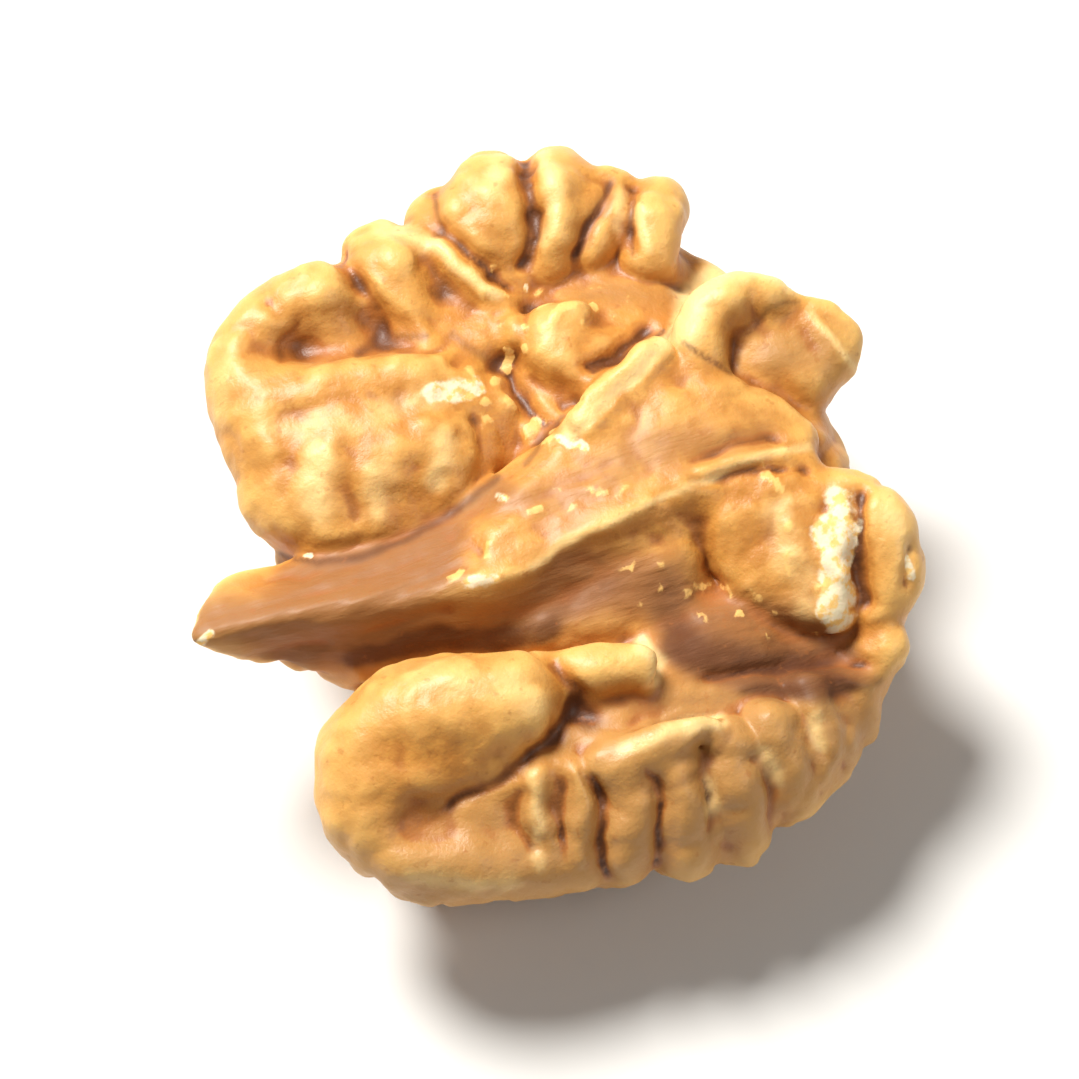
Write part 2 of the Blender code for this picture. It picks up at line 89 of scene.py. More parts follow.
TONGUE_SLABS = (
    # its end
    ((-15.1, -0.4, 8.3, 0.4), (-10.9, -1.2, 8.8, 0.4), (-13.4, 1.7, 7.4, 0.5), (-10.9, 1.5, 7.2, 0.6),
     (-13.4, -0.4, 6.8, 0.7), (-10.9, -1.1, 6.2, 0.9)),
    # its top face, from the ridge line to the far edge, and the side that falls away below
    ((-10.9, -1.2, 8.8, 0.4), (-4.6, -2.3, 9.3, 0.4), (-10.9, 1.5, 7.2, 0.6), (-4.2, 1.4, 7.6, 0.6),
     (-10.9, -1.2, 6.0, 1.0), (-4.6, -2.8, 6.2, 1.2)),
    ((-4.6, -2.3, 9.3, 0.4), (1.3, -1.7, 9.6, 0.4), (-4.2, 1.4, 7.6, 0.6), (1.1, 2.4, 9.2, 0.5),
     (-4.6, -2.8, 6.0, 1.2), (1.0, -3.4, 6.0, 1.4)),
    ((1.3, -1.7, 9.6, 0.4), (4.4, -1.5, 9.7, 0.4), (7.3, -1.0, 9.5, 0.5), (1.1, 2.4, 9.2, 0.5),
     (5.8, 4.4, 9.6, 0.6), (7.0, 3.3, 9.6, 0.7), (9.4, 1.0, 8.8, 0.8), (10.2, -0.6, 8.6, 0.7),
     (1.0, -3.4, 6.0, 1.4), (7.4, -2.0, 6.0, 1.5)),
    # the slope below it, down to the lower lobe
    ((-3.4, -3.2, 6.6, 1.0), (0.2, -3.2, 7.4, 1.0), (3.6, -3.0, 7.6, 1.2), (-2.2, -4.3, 7.2, 0.8),
     (0.2, -4.6, 7.4, 0.8), (2.9, -4.8, 6.0, 1.6)),
    ((1.6, -5.3, 5.2, 1.5), (4.6, -6.5, 4.5, 1.7), (7.6, -7.6, 4.2, 1.5), (3.0, -4.0, 6.0, 1.6)),
)

PLATEAU_SLABS = (
    # the low ridge that stands on it, a prism with a bright top
    ((1.6, 2.8, 10.1, 0.3), (5.7, 5.0, 10.5, 0.3), (2.1, 2.3, 10.1, 0.3), (6.2, 4.5, 10.5, 0.3),
     (2.7, 2.9, 9.2, 0.6), (4.9, 4.2, 9.4, 0.6)),
    ((1.6, 7.7, 8.9, 1.2), (3.2, 7.0, 9.2, 1.2), (2.1, 6.2, 9.0, 1.0), (3.4, 4.8, 8.6, 1.2)),
    ((4.6, 9.4, 7.4, 1.2), (7.0, 7.6, 7.6, 1.2), (6.0, 5.0, 8.4, 1.0), (3.4, 5.4, 8.2, 1.4)),
    ((5.2, 10.8, 7.2, 1.2), (7.8, 9.6, 7.2, 1.3), (5.0, 9.0, 7.2, 1.2)),
)

UPPER_LOBE_SLABS = (
    # the swollen front, from its crest down to the lip that overhangs the tongue
    ((-9.4, 7.6, 8.1, 1.9), (-7.0, 6.8, 8.4, 1.8), (-4.3, 6.6, 8.6, 1.5), (-9.8, 4.6, 7.4, 1.9),
     (-8.5, 3.1, 7.2, 1.8), (-6.4, 2.5, 7.2, 1.7)),
    ((-7.0, 6.8, 8.4, 1.8), (-4.3, 6.6, 8.6, 1.5), (-2.2, 6.0, 8.5, 1.2), (-8.5, 3.1, 7.2, 1.8),
     (-6.4, 2.5, 7.2, 1.7), (-3.9, 2.8, 7.6, 1.4)),
    ((-2.2, 6.0, 8.5, 1.1), (-0.9, 5.4, 8.4, 0.9), (-4.3, 6.8, 8.6, 1.2), (-3.8, 3.1, 7.5, 1.3),
     (-1.7, 3.8, 7.8, 1.0)),
    # the hollow behind its crest
    ((-7.8, 11.4, 7.1, 1.5), (-5.6, 10.5, 7.2, 1.5), (-3.1, 9.2, 7.7, 1.5), (-9.0, 9.4, 7.6, 1.6),
     (-2.0, 8.0, 8.2, 1.2), (0.6, 8.4, 7.8, 1.4)),
    # the floor between the two ridges behind it
    ((-3.2, 12.6, 8.2, 1.2), (-2.4, 10.0, 8.2, 1.0), (-0.6, 12.2, 8.3, 1.0), (0.2, 10.4, 8.3, 0.9)),
)

UPPER_LOBE_FOLDS = (
    # the roll along its crest
    ((-9.6, 8.6, 8.3, 1.9), (-7.2, 7.8, 8.6, 1.8), (-4.6, 7.4, 8.8, 1.6), (-2.6, 6.8, 8.8, 1.2),
     (-0.8, 6.2, 8.5, 0.8)),
    # the rim round the left end
    ((-9.6, 6.4, 8.0, 2.0), (-9.9, 8.8, 8.2, 1.9), (-9.1, 10.9, 8.4, 1.8), (-7.5, 12.2, 8.6, 1.6),
     (-6.1, 12.2, 8.8, 1.7)),
    ((-6.1, 12.2, 8.9, 1.7), (-5.7, 11.0, 8.4, 1.4)),
    # two ridges behind, with a hollow between them
    ((-3.0, 13.6, 8.4, 1.6), (-2.7, 12.5, 8.9, 1.5), (-2.6, 10.6, 8.6, 1.2), (-2.3, 9.2, 8.4, 0.8)),
    ((-4.2, 12.8, 8.9, 0.9), (-3.6, 11.0, 9.0, 0.8), (-2.6, 9.0, 8.9, 0.7)),
    ((-1.4, 13.2, 8.8, 1.1), (-0.6, 12.4, 9.4, 0.7), (0.4, 10.2, 9.3, 0.6), (0.8, 9.4, 8.9, 0.5)),
)

BACK_LOBE_FOLDS = (
    ((0.2, 14.4, 8.4, 1.5), (0.8, 13.2, 9.2, 1.5), (1.2, 11.4, 8.8, 1.2), (1.6, 10.2, 8.2, 0.9)),
    ((2.6, 15.2, 8.4, 1.7), (2.3, 13.8, 9.2, 1.8), (2.2, 12.0, 8.8, 1.5), (2.4, 10.8, 8.4, 0.9)),
    ((5.3, 14.7, 8.6, 1.4), (4.8, 13.2, 9.5, 1.3), (4.3, 12.0, 9.4, 1.1), (3.6, 10.8, 8.8, 0.9)),
    ((6.9, 13.0, 8.4, 1.5), (6.2, 12.0, 8.9, 1.3), (5.2, 10.9, 8.6, 1.0)),
    ((8.7, 12.0, 8.2, 1.4), (8.2, 11.0, 8.9, 1.3), (7.5, 9.8, 8.6, 1.1)),
)

CURL_FOLDS = (
    ((7.4, 3.7, 9.4, 1.1), (8.1, 5.3, 9.8, 1.2), (9.7, 6.0, 9.9, 1.1), (11.4, 5.6, 9.7, 0.8)),
    ((12.4, 5.1, 9.2, 0.6), (13.4, 4.4, 9.0, 0.6), (13.8, 3.3, 8.6, 0.6)),
)

CURL_SLABS = (
    ((10.0, 4.8, 8.4, 1.3), (12.4, 4.3, 8.3, 1.3), (13.0, 3.2, 8.0, 1.2), (11.6, 2.4, 7.8, 1.3),
     (10.0, 3.4, 8.1, 1.3)),
)

SHOULDER_SLABS = (
    # the slope that runs down from the ridge line to the broken edge
    ((5.6, -1.6, 8.8, 0.8), (9.6, -1.4, 8.6, 0.9), (9.6, -3.4, 8.4, 0.9), (6.2, -4.8, 7.5, 0.9),
     (7.4, -6.5, 7.3, 0.8), (8.8, -7.4, 7.1, 0.8), (7.2, -4.6, 5.4, 1.6)),
    # the broken edge
    ((10.2, -2.8, 8.6, 0.5), (9.9, -5.6, 8.2, 0.7), (8.9, -7.9, 7.1, 0.4), (9.2, -5.4, 7.0, 0.8)),
)

SHOULDER_FOLDS = (
    ((11.0, -3.2, 8.2, 1.2), (11.7, -4.8, 8.1, 1.4), (11.8, -6.6, 7.4, 1.3), (10.8, -7.4, 6.8, 1.1)),
    ((10.6, -9.0, 6.2, 0.9), (9.6, -9.0, 5.2, 1.4)),
    ((4.6, -8.8, 6.1, 0.6), (7.0, -9.4, 6.0, 0.6), (9.4, -10.0, 5.7, 0.6)),
)

LOWER_LOBE_SLABS = (
    ((-10.6, -7.4, 6.2, 2.0), (-8.4, -9.2, 5.8, 1.8), (-6.1, -9.6, 6.2, 1.6), (-4.4, -9.3, 6.4, 1.5)),
)

LOWER_LOBE_FOLDS = (
    # a broad pillow on top, which rolls over at its left end and comes back underneath
    ((-4.6, -7.3, 8.2, 1.8), (-5.6, -7.0, 8.2, 2.0), (-7.0, -6.6, 7.8, 2.3), (-9.2, -6.4, 7.2, 2.3),
     (-10.6, -7.6, 6.4, 2.2), (-10.6, -9.3, 5.5, 2.0), (-8.8, -11.0, 4.9, 1.9), (-6.0, -12.0, 4.7, 1.6),
     (-3.9, -12.5, 4.4, 1.4)),
    ((-9.6, -7.6, 6.8, 2.0), (-7.4, -7.9, 7.0, 1.9), (-5.6, -8.0, 7.4, 1.5)),
    ((-5.2, -9.8, 6.9, 0.7), (-5.0, -11.2, 6.2, 0.7), (-5.1, -12.4, 5.1, 0.8)),
    ((-3.6, -9.8, 7.1, 0.7), (-3.4, -11.4, 6.2, 0.8), (-3.8, -12.8, 4.7, 0.9)),
    # two fingers
    ((-2.9, -6.6, 7.7, 1.0), (-1.2, -7.0, 8.2, 1.0), (0.2, -7.3, 8.3, 0.8)),
    ((0.3, -6.6, 8.3, 0.4), (1.0, -7.3, 8.8, 0.4), (0.7, -8.1, 8.3, 0.4)),
    ((-2.0, -10.5, 7.4, 0.9), (0.1, -10.7, 7.9, 0.9), (2.4, -10.6, 8.1, 0.4)),
)

FLUTED_LOBE_FOLDS = (
    ((-1.2, -11.4, 6.6, 1.0), (-1.8, -12.6, 5.2, 1.3), (-2.0, -12.9, 3.8, 1.4)),
    ((0.7, -11.4, 6.9, 1.0), (0.5, -12.9, 5.2, 1.3), (0.3, -13.3, 3.9, 1.4)),
    ((2.8, -11.2, 6.9, 1.0), (3.0, -12.8, 5.3, 1.3), (2.8, -13.2, 3.9, 1.4)),
    ((4.8, -10.8, 6.8, 1.0), (5.1, -12.2, 5.3, 1.3), (5.1, -12.6, 4.0, 1.4)),
    ((6.9, -10.2, 6.4, 1.0), (7.2, -11.4, 5.2, 1.2), (7.0, -11.8, 4.0, 1.3)),
    ((8.4, -9.6, 5.9, 0.9), (8.7, -10.5, 5.0, 1.0), (8.5, -10.7, 4.0, 1.1)),
    ((-1.0, -9.4, 5.2, 1.8), (3.0, -9.2, 5.1, 2.0), (7.0, -8.4, 4.9, 1.8)),
)

# The rounded back: a dome of folds that fan out from its middle, from the table up to the rim.
BACK_CENTRE = (0.9, 0.8)
BACK_REACH = (10.4, 12.8)
BACK_FLOOR = -0.1
BACK_RISE = 6.7
BACK_ROUNDNESS = 0.96  # at 1 the dome would stand upright at its rim
RIM_FOLDS = 19
INNER_FOLDS = 9
RIM_FOLD_RADIUS = 1.9
INNER_FOLD_RADIUS = 2.3
RIM_START, RIM_STEP = 0.60, 0.19  # shares of the reach: a fold's first point, and from each to the next
INNER_START, INNER_STEP = 0.10, 0.22
RIM_SWIRL = 0.10  # how far a rim fold leans round the dome, at most
INNER_SWIRL = 0.15
RIM_TAPER = 0.1
GROOVE_DEPTH = 1.3  # of the broad groove along the middle of the back
GROOVE_HALF_WIDTH = 2.6
TABLE_TRIM = 0.3  # what is cut off the lowest folds, so that it stands flat


def dome_point(turn, share, radius):
    """The middle of a back fold, at an angle round the dome and a share of the way out to its rim."""
    x = BACK_CENTRE[0] + BACK_REACH[0] * share * math.cos(turn)
    y = BACK_CENTRE[1] + BACK_REACH[1] * share * math.sin(turn)
    rise = BACK_RISE * (1 - math.sqrt(1 - BACK_ROUNDNESS * share * share))
    groove = GROOVE_DEPTH * math.exp(-(((y - BACK_CENTRE[1]) / GROOVE_HALF_WIDTH) ** 2))
    return x, y, BACK_FLOOR + rise + groove, radius


def back_folds():
    """Rim folds that stand side by side round the dome, and fewer, fatter folds nearer its centre."""
    folds = []
    for i in range(RIM_FOLDS):
        turn = math.tau * (i + 0.5) / RIM_FOLDS
        swirl = RIM_SWIRL * math.sin(3 * turn)
        steps = (
            (turn + swirl * k, RIM_START + RIM_STEP * k, RIM_FOLD_RADIUS - RIM_TAPER * k) for k in range(3)
        )
        folds.append([dome_point(*step) for step in steps])
    for i in range(INNER_FOLDS):
        turn = math.tau * (i + 0.2) / INNER_FOLDS
        steps = (
            (turn + INNER_SWIRL * k, INNER_START + INNER_STEP * k, INNER_FOLD_RADIUS) for k in range(3)
        )
        folds.append([dome_point(*step) for step in steps])
    return folds


FOLDS = (
    CORE_FOLDS,
    SIDE_FOLDS,
    UPPER_LOBE_FOLDS,
    BACK_LOBE_FOLDS,
    CURL_FOLDS,
    SHOULDER_FOLDS,
    LOWER_LOBE_FOLDS,
    FLUTED_LOBE_FOLDS,
    back_folds(),
)
SLABS = (TONGUE_SLABS, PLATEAU_SLABS, UPPER_LOBE_SLABS, CURL_SLABS, SHOULDER_SLABS, LOWER_LOBE_SLABS)


def between(before, start, end, after, share):
    """A point between start and end on the smooth curve that also passes before and after them."""
    square, cube = share * share, share * share * share
    return 0.5 * (
        2 * start
        + (end - before) * share
        + (2 * before - 5 * start + 4 * end - after) * square
        + (3 * start - before - 3 * end + after) * cube
    )


def smooth_spine(spine):
    """Closely spaced 4-D points (x, y, z, radius) on a smooth curve through a fold's spine."""
    knots = [Vector(knot) for knot in spine]
    knots = [2 * knots[0] - knots[1], *knots, 2 * knots[-1] - knots[-2]]
    line = [
        between(*knots[i - 1 : i + 3], step / SPANS_PER_POINT)
        for i in range(1, len(knots) - 2)
        for step in range(SPANS_PER_POINT)
    ]
    return [*line, knots[-2]]


def frames_along(line):
    """(distance, centre, radius, tangent, side, normal) at each point of a smooth spine, without twist."""
    frames = []
    distance = 0.0
    side = Vector((0, 0, 0))
    for i, point in enumerate(line):
        ahead = line[min(i + 1, len(line) - 1)].xyz
        behind = line[max(i - 1, 0)].xyz
        tangent = (ahead - behind).normalized()
        if i == 0:
            up = Vector((0, 0, 1)) if abs(tangent.z) < 0.9 else Vector((0, 1, 0))
            side = tangent.cross(up).normalized()
        else:
            distance += (point.xyz - line[i - 1].xyz).length
            side = (side - tangent * side.dot(tangent)).normalized()
        frames.append((distance, point.xyz, point.w, tangent, side, side.cross(tangent)))
    return frames


def frame_at(frames, distance):
    """The frame at a distance along a fold, blended between the two nearest ones."""
    for first, second in zip(frames, frames[1:]):
        if distance <= second[0]:
            share = (distance - first[0]) / (second[0] - first[0])
            return [a + (b - a) * share for a, b in zip(first, second)]
    return list(frames[-1])


def add_fold(mesh, spine):
    """Adds one fold: a unit sphere whose rings are spread along the spine, with a round end at each tip."""
    frames = frames_along(smooth_spine(spine))
    length, first_radius, last_radius = frames[-1][0], frames[0][2], frames[-1][2]
    fold = bmesh.new()
    bmesh.ops.create_uvsphere(fold, u_segments=FOLD_SIDES, v_segments=FOLD_RINGS, radius=1.0)
    rings = {}
    for vert in fold.verts:
        ring = round(vert.co.z, 4)
        if ring not in rings:
            reach = (1 - vert.co.z) / 2 * (first_radius + length + last_radius) - first_radius
            on_spine = min(max(reach, 0.0), length)
            rings[ring] = (*frame_at(frames, on_spine), reach - on_spine)
        _, centre, radius, tangent, side, normal, past = rings[ring]
        girth = math.sqrt(max(radius * radius - past * past, 0.0))
        around = Vector((vert.co.x, vert.co.y)).normalized()
        vert.co = centre + tangent * past + (side * around.x + normal * around.y) * girth
    join(mesh, fold)


def add_slab(mesh, corners):
    """Adds the tight wrapping of small spheres: flat faces with rounded edges."""
    slab = bmesh.new()
    for x, y, z, radius in corners:
        place = Matrix.Translation((x, y, z))
        bmesh.ops.create_icosphere(slab, subdivisions=3, radius=radius, matrix=place)
    wrap = bmesh.ops.convex_hull(slab, input=slab.verts)
    within = wrap["geom_interior"] + wrap["geom_unused"]
    inner = {item for item in within if isinstance(item, bmesh.types.BMVert)}
    bmesh.ops.delete(slab, geom=list(inner), context="VERTS")
    join(mesh, slab)


def join(mesh, piece):
    """Adds one piece's geometry to the mesh and frees the piece."""
    loose = bpy.data.meshes.new("loose")
    piece.to_mesh(loose)
    piece.free()
    mesh.from_mesh(loose)
    bpy.data.meshes.remove(loose)


def fused_skin(mesh):
    """The folds' common outer skin, as a mesh datablock."""
    loose = bpy.data.meshes.new("folds")
    mesh.to_mesh(loose)
    folds = bpy.data.objects.new("folds", loose)
    bpy.context.scene.collection.objects.link(folds)
    fuse = folds.modifiers.new("fuse", "REMESH")
    fuse.mode = "VOXEL"
    fuse.voxel_size = GRAIN
    soften = folds.modifiers.new("soften", "SMOOTH")
    soften.factor = 0.5
    soften.iterations = SKIN_SOFTNESS
    graph = bpy.context.evaluated_depsgraph_get()
    skin = bpy.data.meshes.new_from_object(folds.evaluated_get(graph))
    bpy.data.objects.remove(folds)
    return skin


def island_of(vert):
    """All vertices joined to this one."""
    found, waiting = {vert}, [vert]
    while waiting:
        for edge in waiting.pop().link_edges:
            for other in edge.verts:
                if other not in found:
                    found.add(other)
                    waiting.append(other)
    return found


def keep_outer_skin(mesh):
    """Removes the closed pockets that are left between folds inside the kernel."""
    left = set(mesh.verts)
    islands = []
    while left:
        island = island_of(next(iter(left)))
        left -= island
        islands.append(island)
    islands.sort(key=len)
    inner = [vert for island in islands[:-1] for vert in island]
    bmesh.ops.delete(mesh, geom=inner, context="VERTS")


# ---------------------------------------------------------------- relief of the skin
# Strokes are laid on along the direction that the inner face looks in, which is also the main view's. They
# are given in millimetres, on the level 8 mm above the table. Each is (height, half width, path), and a
# height below zero is a groove.

INNER_FACE = Vector((-0.1606, -0.4412, 0.8829))
STROKE_LEVEL = 8.0

UPPER_LOBE_STROKES = (
    # soft flutes down the swollen front
    (0.14, 0.50, ((-9.1, 9.0), (-9.7, 7.3), (-10.0, 5.6))),
    (0.55, 2.0, ((-7.6, 4.8), (-4.0, 4.6))),
    (0.26, 1.0, ((-7.5, 6.2), (-8.3, 4.8))),
    (-0.05, 0.35, ((-6.3, 6.0), (-7.0, 4.6), (-7.6, 2.8))),
    (0.26, 1.0, ((-5.2, 5.2), (-5.8, 4.1))),
    (-0.06, 0.30, ((-4.2, 5.0), (-4.9, 3.8), (-5.3, 2.4))),
    (0.24, 0.8, ((-3.2, 4.9), (-3.8, 3.7))),
    (0.14, 0.25, ((-2.0, 5.3), (-2.4, 3.8))),
    (-0.08, 0.25, ((-1.6, 5.2), (-2.0, 3.8))),
    (0.15, 0.6, ((-10.2, 4.0), (-9.0, 2.6), (-7.0, 1.8))),
    # hollows and creases behind its crest
    (-0.22, 0.6, ((-8.5, 11.4), (-8.4, 11.2))),
    (-0.35, 1.1, ((-8.8, 11.6), (-7.0, 10.9), (-5.0, 10.7), (-3.5, 9.9))),
    (-0.2, 0.4, ((-7.6, 14.2), (-7.4, 12.7))),
    (-0.25, 0.45, ((-4.0, 14.6), (-3.9, 12.2), (-3.8, 10.4))),
    (-0.1, 0.45, ((-0.9, 13.3), (-0.6, 11.4), (-0.4, 10.3))),
    (-0.3, 0.4, ((0.3, 16.0), (0.0, 14.1), (1.3, 11.9), (1.5, 10.9))),
    (0.14, 0.4, ((-3.7, 13.8), (-3.1, 12.0), (-2.2, 9.9))),
    (0.16, 0.35, ((-0.3, 13.7), (0.7, 10.9))),
    (-0.3, 0.45, ((-1.4, 7.9), (-1.3, 7.8))),
)

BACK_LOBE_STROKES = (
    (-0.3, 0.4, ((4.6, 16.5), (3.8, 14.5), (3.5, 12.6), (2.7, 11.4))),
    (-0.12, 0.5, ((2.4, 16.2), (3.1, 15.0), (4.0, 14.9))),
    (0.22, 0.4, ((5.2, 15.6), (5.0, 13.8), (3.8, 12.0))),
    (-0.3, 0.35, ((7.2, 14.0), (6.2, 12.7), (4.8, 11.4))),
    (-0.2, 0.35, ((8.0, 13.5), (7.6, 11.8), (6.9, 10.6))),
    (0.16, 0.3, ((8.1, 12.4), (7.6, 10.3))),
    (-0.12, 0.35, ((9.6, 12.7), (9.5, 11.1))),
)

CURL_STROKES = (
    (0.13, 0.35, ((12.7, 5.0), (13.6, 2.5), (12.7, 0.5))),
    (-0.10, 0.40, ((12.0, 4.4), (12.7, 2.6), (12.0, 1.2))),
    (0.18, 0.9, ((10.8, 4.0), (11.6, 3.0))),
)

MIDDLE_STROKES = (
    (-0.25, 0.5, ((2.0, 9.4), (1.2, 7.8), (0.0, 7.0))),
    (-0.18, 0.5, ((4.1, 8.1), (3.6, 6.7))),
    (0.18, 0.28, ((-0.4, 6.0), (0.1, 3.5))),
    (-0.2, 0.22, ((0.3, 6.6), (0.8, 4.0))),
    (0.16, 0.25, ((1.1, 6.3), (1.5, 4.3))),
    (-0.35, 0.3, ((3.6, 6.0), (6.2, 7.0))),
    (0.2, 0.3, ((1.6, 3.9), (5.8, 6.2))),
    (-0.14, 0.14, ((1.9, 3.2), (6.0, 5.6))),
    (-0.08, 0.4, ((-3.7, -0.6), (0.3, 0.3), (3.8, 0.8))),
    (-0.08, 0.4, ((-2.4, 0.5), (0.7, 1.4), (2.7, 1.7))),
    (-0.2, 0.3, ((6.0, 0.5), (7.5, 0.7), (9.1, 0.5))),
    (-0.2, 0.3, ((5.7, -0.3), (7.9, -0.8), (9.8, -1.3))),
    (0.15, 0.35, ((6.1, 0.0), (9.2, -0.3))),
    (0.15, 0.35, ((-4.3, -1.6), (-1.8, -1.6), (1.3, -0.9), (3.3, -0.6))),
    (-0.08, 0.3, ((-14.3, 0.4), (-10.4, 0.1), (-5.8, 0.0))),
    (-0.08, 0.3, ((-14.0, -0.6), (-8.6, -1.1), (-4.3, -1.0))),
    (-0.14, 0.3, ((-13.4, -1.6), (-8.9, -2.2), (-5.4, -2.6))),
    (-0.1, 0.3, ((-13.8, 1.2), (-11.0, 1.2), (-7.5, 0.5))),
)

SHOULDER_STROKES = (
    (-0.4, 0.35, ((11.4, -3.2), (10.4, -5.8), (10.0, -8.0))),
    (0.15, 0.5, ((10.4, -3.2), (9.7, -5.5), (8.6, -8.0))),
    (-0.25, 0.3, ((12.6, -6.4), (11.6, -7.6))),
    (0.18, 0.3, ((4.2, -9.6), (6.7, -10.4), (8.7, -11.2))),
    (-0.3, 0.4, ((3.0, -8.6), (6.0, -9.4), (9.0, -10.2))),
)

LOWER_LOBE_STROKES = (
    (-0.25, 0.35, ((-2.4, -5.9), (-1.9, -7.6), (-3.5, -9.2), (-5.7, -9.8), (-8.2, -10.5))),
    (-0.3, 0.9, ((-10.1, -10.5), (-8.4, -10.8), (-6.6, -11.0))),
    (0.15, 0.8, ((-10.8, -11.8), (-8.5, -13.7), (-6.4, -14.4))),
    (0.30, 0.45, ((-4.7, -10.4), (-5.3, -12.0), (-5.1, -13.4))),
    (0.35, 0.40, ((-3.3, -10.8), (-3.5, -12.4), (-4.5, -14.4))),
    (-0.14, 0.35, ((-5.7, -10.8), (-6.2, -12.2), (-5.9, -13.2))),
    (-0.1, 0.25, ((-4.0, -10.8), (-4.3, -12.6), (-4.8, -13.8))),
    (-0.2, 0.3, ((-2.8, -11.2), (-3.0, -13.2), (-3.6, -15.4))),
    (-0.4, 0.5, ((-2.2, -8.6), (-2.0, -8.7))),
    (-0.16, 0.22, ((-0.7, -13.1), (-1.2, -14.8), (-1.8, -16.1))),
    (-0.12, 0.22, ((1.4, -12.8), (1.0, -14.8), (0.5, -16.4))),
    (-0.18, 0.22, ((3.5, -12.5), (3.3, -14.6), (2.9, -16.3))),
    (-0.12, 0.22, ((5.6, -11.9), (5.6, -13.8), (5.3, -15.3))),
    (-0.15, 0.22, ((7.3, -11.3), (7.3, -12.8), (6.7, -14.5))),
    (0.15, 0.5, ((-1.6, -12.8), (-2.4, -14.3), (-2.8, -15.7))),
    (0.15, 0.5, ((0.4, -12.7), (0.0, -14.7), (-0.6, -16.3))),
    (0.15, 0.5, ((2.6, -12.4), (2.4, -14.5), (1.8, -16.4))),
    (0.15, 0.5, ((4.6, -12.1), (4.5, -14.1), (4.1, -15.6))),
    (0.15, 0.4, ((6.4, -11.7), (6.5, -13.4), (5.9, -14.7))),
    (0.12, 0.3, ((-1.7, -9.8), (-0.1, -9.9), (2.1, -10.2))),
)

STROKES = (
    *UPPER_LOBE_STROKES,
    *BACK_LOBE_STROKES,
    *CURL_STROKES,
    *MIDDLE_STROKES,
    *SHOULDER_STROKES,
    *LOWER_LOBE_STROKES,
)

# Areas of the inner face are painted the same way. Each is (half width, strength, path).

# Where the pale flesh shows through broken skin.
CHIPS = (
    (0.50, 1.0, ((-2.8, 6.8), (-1.0, 6.4))),
    (0.62, 1.0, ((10.5, -3.0), (10.0, -5.2), (8.9, -8.2))),
    (0.60, 0.8, ((9.6, -4.2), (9.3, -6.4), (8.6, -7.6))),
    (0.22, 1.0, ((2.1, 2.6), (2.0, 2.9))),
    (0.25, 1.0, ((1.2, 3.1), (1.6, 2.8))),
    (0.28, 0.8, ((-4.3, -1.6), (-3.3, -1.6))),
    (0.30, 0.8, ((-2.0, 1.5), (-1.8, 1.4))),
    (0.22, 1.0, ((12.3, -6.7), (12.0, -7.4))),
    (0.20, 1.0, ((2.4, 10.6), (2.3, 10.4))),
    (0.22, 1.0, ((-15.0, -0.6), (-14.6, -0.3))),
    (0.18, 1.0, ((-9.8, 2.0), (-9.7, 1.9))),
)

# Where the skin is a darker, fibrous membrane.
MEMBRANE = (
    (1.6, 0.8, ((-14.8, 0.2), (-10.7, -0.5), (-5.5, -0.6))),
    (1.5, 0.6, ((-12.0, -2.4), (-5.4, -3.2), (-1.0, -3.2))),
    (2.0, 0.9, ((0.0, -3.0), (2.3, -4.4), (3.6, -6.0), (7.2, -9.1))),
    (1.2, 0.9, ((3.0, -7.8), (8.1, -10.2))),
    (1.2, 0.4, ((4.9, 9.1), (7.2, 7.7))),
    (1.0, 0.6, ((-10.8, 1.6), (-7.3, 0.6), (-4.0, 0.8), (-2.0, 1.8))),
    (0.5, 0.5, ((7.4, 14.0), (6.3, 12.7), (4.8, 11.5))),
    (1.5, 0.35, ((10.6, 3.6), (12.4, 3.0))),
    (1.4, 0.5, ((-0.5, 0.8), (4.0, 1.6), (8.4, 0.6))),
)

# Where the skin is painted in olive-brown shade: the lower lobe, which faces away from the light, and some
# hollows. It is not fibrous.
OLIVE_SHADE_AREAS = (
    (3.2, 0.9, ((-9.5, -12.5), (-5.5, -13.5), (1.0, -14.0), (6.5, -12.5))),
    (2.0, 0.6, ((-2.0, -9.5), (3.0, -9.8))),
    (1.2, 0.8, ((10.8, 4.2), (12.6, 3.4))),
    (1.3, 0.5, ((4.0, 9.6), (7.6, 8.6))),
    (1.6, 0.35, ((-8.0, 11.2), (-5.0, 10.6))),
)
